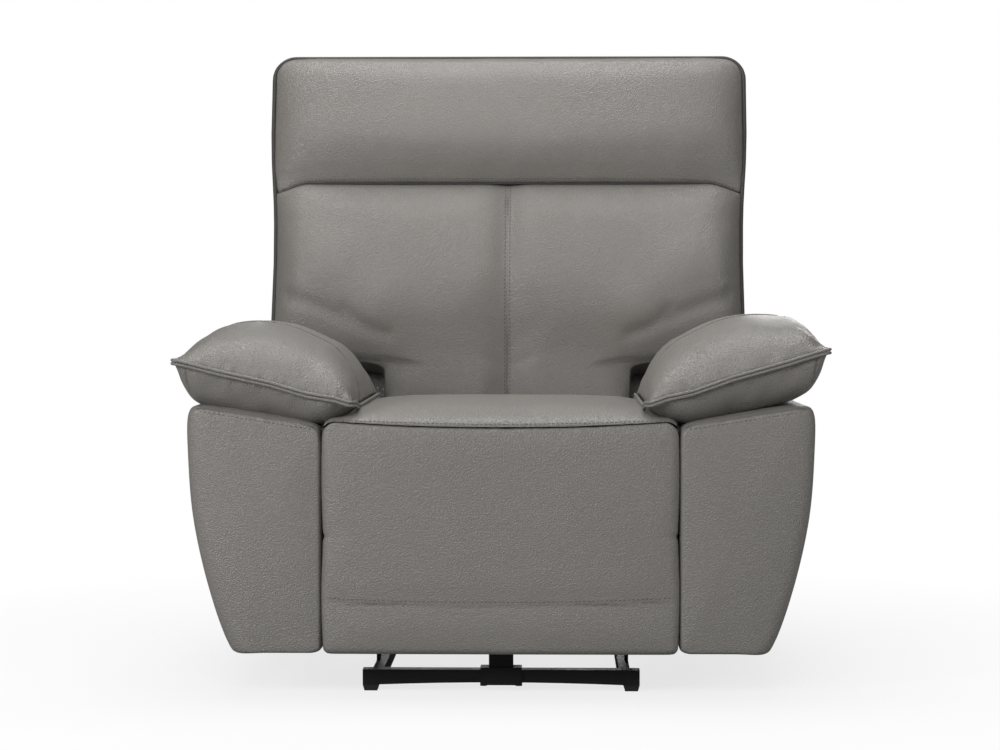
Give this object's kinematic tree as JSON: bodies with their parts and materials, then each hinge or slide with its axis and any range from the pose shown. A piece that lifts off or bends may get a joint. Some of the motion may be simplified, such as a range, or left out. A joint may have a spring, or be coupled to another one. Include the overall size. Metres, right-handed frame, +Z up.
{
  "type": "powered recliner seat",
  "caption": "Powered recliner seat for one: leather cushions and stuffed arms, a hinged leg rest and a reclining back on a low steel base",
  "frame": {"origin": "on the floor, under the middle of the chair's box with the leg rest down and the back up", "axes": "+X to the right in the picture (the sitter's left), -Y the way the sitter faces, +Z up"},
  "size_m": [1.052, 0.9345, 1.0948],
  "materials": {
    "leather": "warm grey pebbled leather, satin",
    "black_steel": "black powder coat, satin",
    "zinc_steel": "zinc plated steel",
    "timber": "raw plywood and pine",
    "black_plastic": "moulded, fine texture",
    "button_plastic": "moulded, satin"
  },
  "bodies": {
    "base": {"base_front_bar": "black_steel", "base_rear_tube": "black_steel", "base_rail_left": "black_steel", "base_rail_right": "black_steel", "foot_front_left": "black_plastic", "foot_front_right": "black_plastic", "foot_rear_left": "black_plastic", "foot_rear_right": "black_plastic", "motor_mount": "black_steel", "recline_rail": "zinc_steel", "recline_motor": "black_plastic"},
    "rear_lift": {"rear_lift_link_left": "black_steel", "rear_lift_link_right": "black_steel"},
    "front_lift": {"front_lift_link_left": "black_steel", "front_lift_link_right": "black_steel", "lift_cross_tube": "black_steel"},
    "recline_nut": {"recline_slider": "black_plastic"},
    "seat": {"seat_plate_left": "black_steel", "seat_plate_right": "black_steel", "side_board_left": "timber", "side_board_right": "timber", "seat_front_rail": "timber", "seat_rear_rail": "timber", "seat_spring_unit": "zinc_steel", "seat_cushion": "leather", "arm_body_left": "leather", "arm_body_right": "leather", "arm_pad_left": "leather", "arm_pad_right": "leather", "flap_hinge_left": "black_steel", "flap_hinge_right": "black_steel", "back_hinge_left": "black_steel", "back_hinge_right": "black_steel", "control_panel": "black_plastic", "footrest_motor": "black_plastic", "footrest_rail": "zinc_steel"},
    "back": {"back_frame": "timber", "back_cushion": "leather", "headrest": "leather", "back_rear_cover": "leather"},
    "flap": {"flap_arm_left": "black_steel", "flap_arm_right": "black_steel", "flap_board": "timber", "flap_pad": "leather"},
    "footrest": {"footrest_arm_left": "black_steel", "footrest_arm_right": "black_steel", "footrest_board": "timber", "footrest_pad": "leather"},
    "leg_drive": {"torque_tube": "black_steel", "drive_link_left": "black_steel", "drive_link_right": "black_steel"},
    "push_links": {"push_link_left": "black_steel", "push_link_right": "black_steel"},
    "footrest_nut": {"footrest_slider": "black_plastic"},
    "key_back_down": {"button_back_down": "button_plastic"},
    "key_back_up": {"button_back_up": "button_plastic"},
    "key_feet_up": {"button_feet_up": "button_plastic"},
    "key_feet_down": {"button_feet_down": "button_plastic"}
  },
  "joints": [
    {"name": "recline", "type": "hinge", "parent": "base", "child": "rear_lift", "pos_m": [0, -0.00329, 0.06], "axis": [1, 0, 0], "range_deg": [0, 40]},
    {"name": "seat_carry", "type": "hinge", "parent": "rear_lift", "child": "seat", "pos_m": [0, 0.0432, 0.15969], "axis": [1, 0, 0], "range_deg": [-40, 0]},
    {"name": "front_lift_swing", "type": "hinge", "parent": "base", "child": "front_lift", "pos_m": [0, -0.27329, 0.06], "axis": [1, 0, 0], "range_deg": [0, 40]},
    {"name": "recline_nut_slide", "type": "slide", "parent": "base", "child": "recline_nut", "axis": [0, -1, 0], "range_m": [0, 0.041]},
    {"name": "back_recline", "type": "hinge", "parent": "seat", "child": "back", "pos_m": [0, 0.15171, 0.262], "axis": [-1, 0, 0], "range_deg": [0, 33.1]},
    {"name": "leg_rest", "type": "hinge", "parent": "seat", "child": "flap", "pos_m": [0, -0.44529, 0.43], "axis": [-1, 0, 0], "range_deg": [0, 82.75]},
    {"name": "footrest_fold", "type": "hinge", "parent": "flap", "child": "footrest", "pos_m": [0, -0.44529, 0.261], "axis": [-1, 0, 0], "range_deg": [0, 5.3]},
    {"name": "drive_turn", "type": "hinge", "parent": "seat", "child": "leg_drive", "pos_m": [0, -0.35089, 0.2976], "axis": [-1, 0, 0], "range_deg": [0, 83.5]},
    {"name": "push_link_turn", "type": "hinge", "parent": "leg_drive", "child": "push_links", "pos_m": [0, -0.29813, 0.10365], "axis": [1, 0, 0], "range_deg": [0, 81.6]},
    {"name": "footrest_nut_slide", "type": "slide", "parent": "seat", "child": "footrest_nut", "axis": [0, -1, 0], "range_m": [0, 0.0645]},
    {"name": "press_back_down", "type": "slide", "parent": "seat", "child": "key_back_down", "axis": [1, 0, 0], "range_m": [0, 0.0016], "stiffness_N_per_m": 350, "springref_m": -0.0005},
    {"name": "press_back_up", "type": "slide", "parent": "seat", "child": "key_back_up", "axis": [1, 0, 0], "range_m": [0, 0.0016], "stiffness_N_per_m": 350, "springref_m": -0.0005},
    {"name": "press_feet_up", "type": "slide", "parent": "seat", "child": "key_feet_up", "axis": [1, 0, 0], "range_m": [0, 0.0016], "stiffness_N_per_m": 350, "springref_m": -0.0005},
    {"name": "press_feet_down", "type": "slide", "parent": "seat", "child": "key_feet_down", "axis": [1, 0, 0], "range_m": [0, 0.0016], "stiffness_N_per_m": 350, "springref_m": -0.0005}
  ],
  "couplings": [
    {"joint": "seat_carry", "follows": "recline", "ratio": -1},
    {"joint": "front_lift_swing", "follows": "recline", "ratio": 1},
    {"joint": "recline_nut_slide", "follows": "recline", "m_per_rad": 0.05857},
    {"joint": "back_recline", "follows": "recline", "ratio": 0.825},
    {"joint": "footrest_fold", "follows": "leg_rest", "ratio": 0.06233},
    {"joint": "drive_turn", "follows": "leg_rest", "ratio": 1.0059},
    {"joint": "push_link_turn", "follows": "leg_rest", "ratio": 0.98293},
    {"joint": "footrest_nut_slide", "follows": "leg_rest", "m_per_rad": 0.04415}
  ]
}
